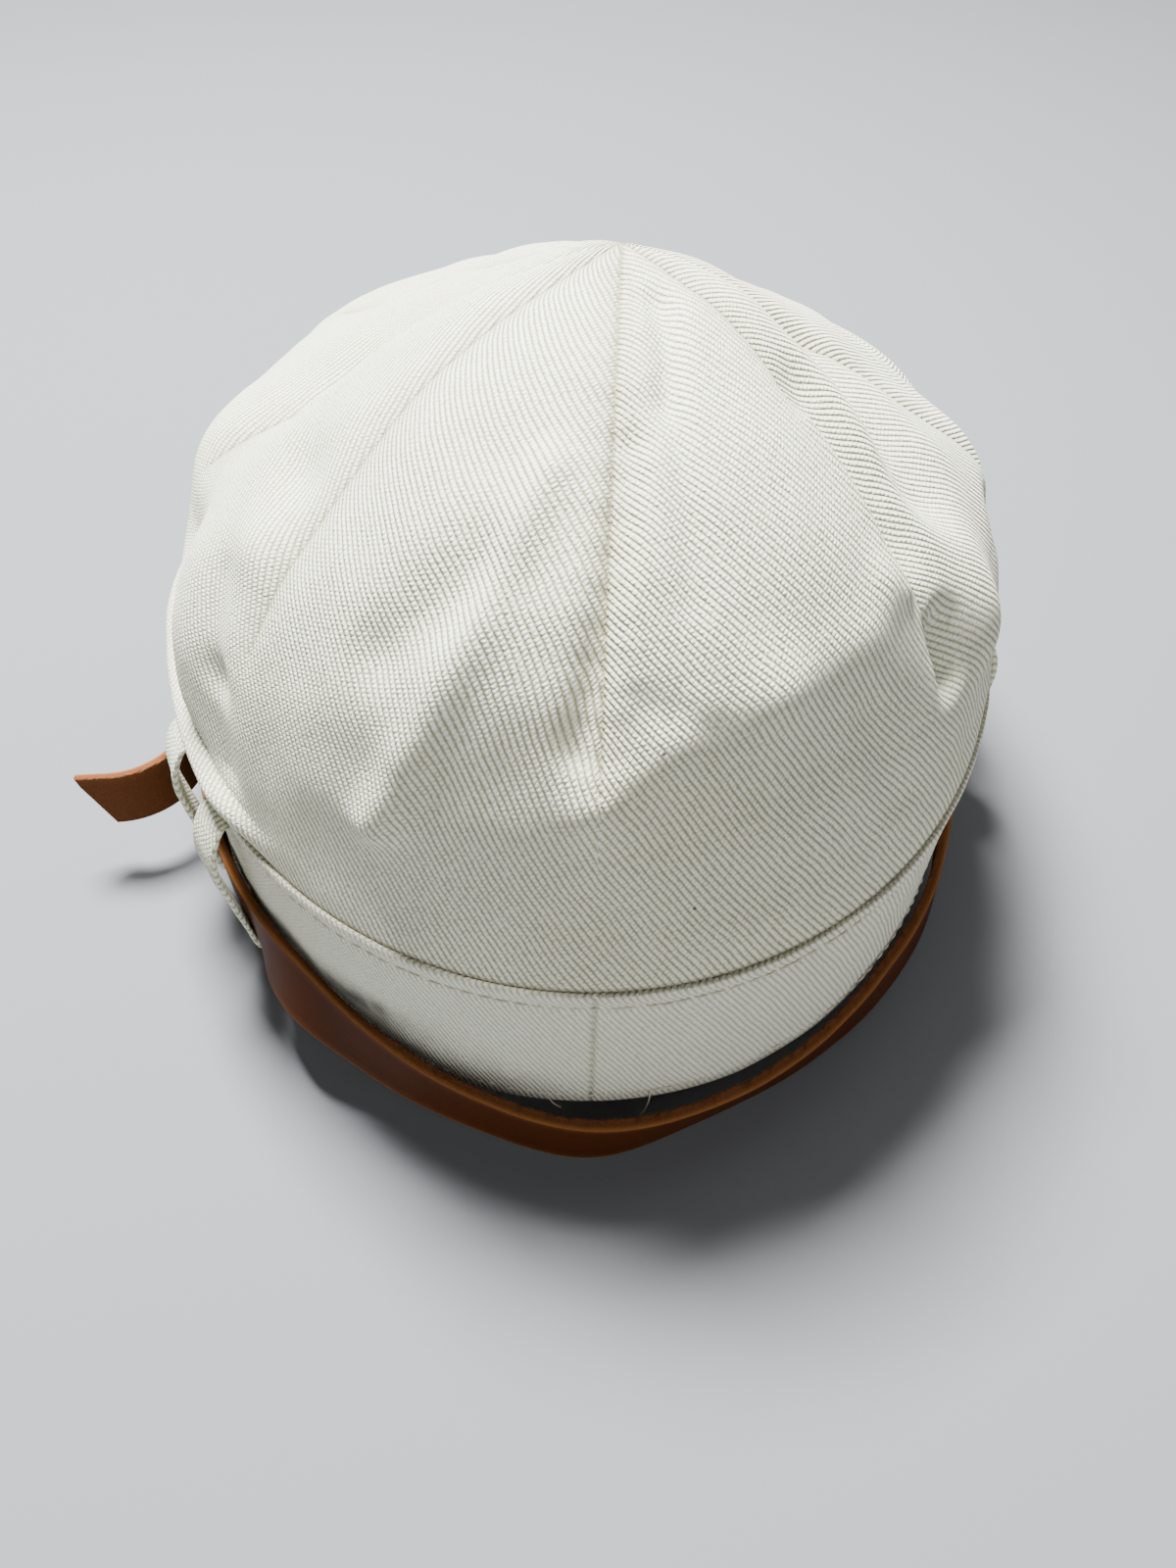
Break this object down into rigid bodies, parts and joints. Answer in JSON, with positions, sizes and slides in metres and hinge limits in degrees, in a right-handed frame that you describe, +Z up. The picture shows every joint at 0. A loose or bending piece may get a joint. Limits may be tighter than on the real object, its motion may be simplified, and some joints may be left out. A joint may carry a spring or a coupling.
{
  "type": "sailor cap",
  "caption": "Brimless cotton twill cap: darted hollow crown on a doubled band, with twill belt loops and a leather chin strap slack at the back.",
  "frame": {"origin": "centre of the head opening, in the plane of the band's lower edge, where a head holds the cap", "axes": "+Z up through the crown, -Y the back of the cap, +X the wearer's right"},
  "size_m": [0.1991, 0.2177, 0.1357],
  "materials": {
    "cotton_twill": "off-white cotton twill, matt",
    "strap_leather": "oiled brown leather with paler cut edges"
  },
  "bodies": {
    "root": {"crown": "cotton_twill", "band": "cotton_twill", "belt_loop_left_rear": "cotton_twill", "belt_loop_left_front": "cotton_twill", "belt_loop_right_rear": "cotton_twill", "belt_loop_right_front": "cotton_twill", "chin_strap": "strap_leather", "strap_keeper": "strap_leather"}
  },
  "joints": []
}
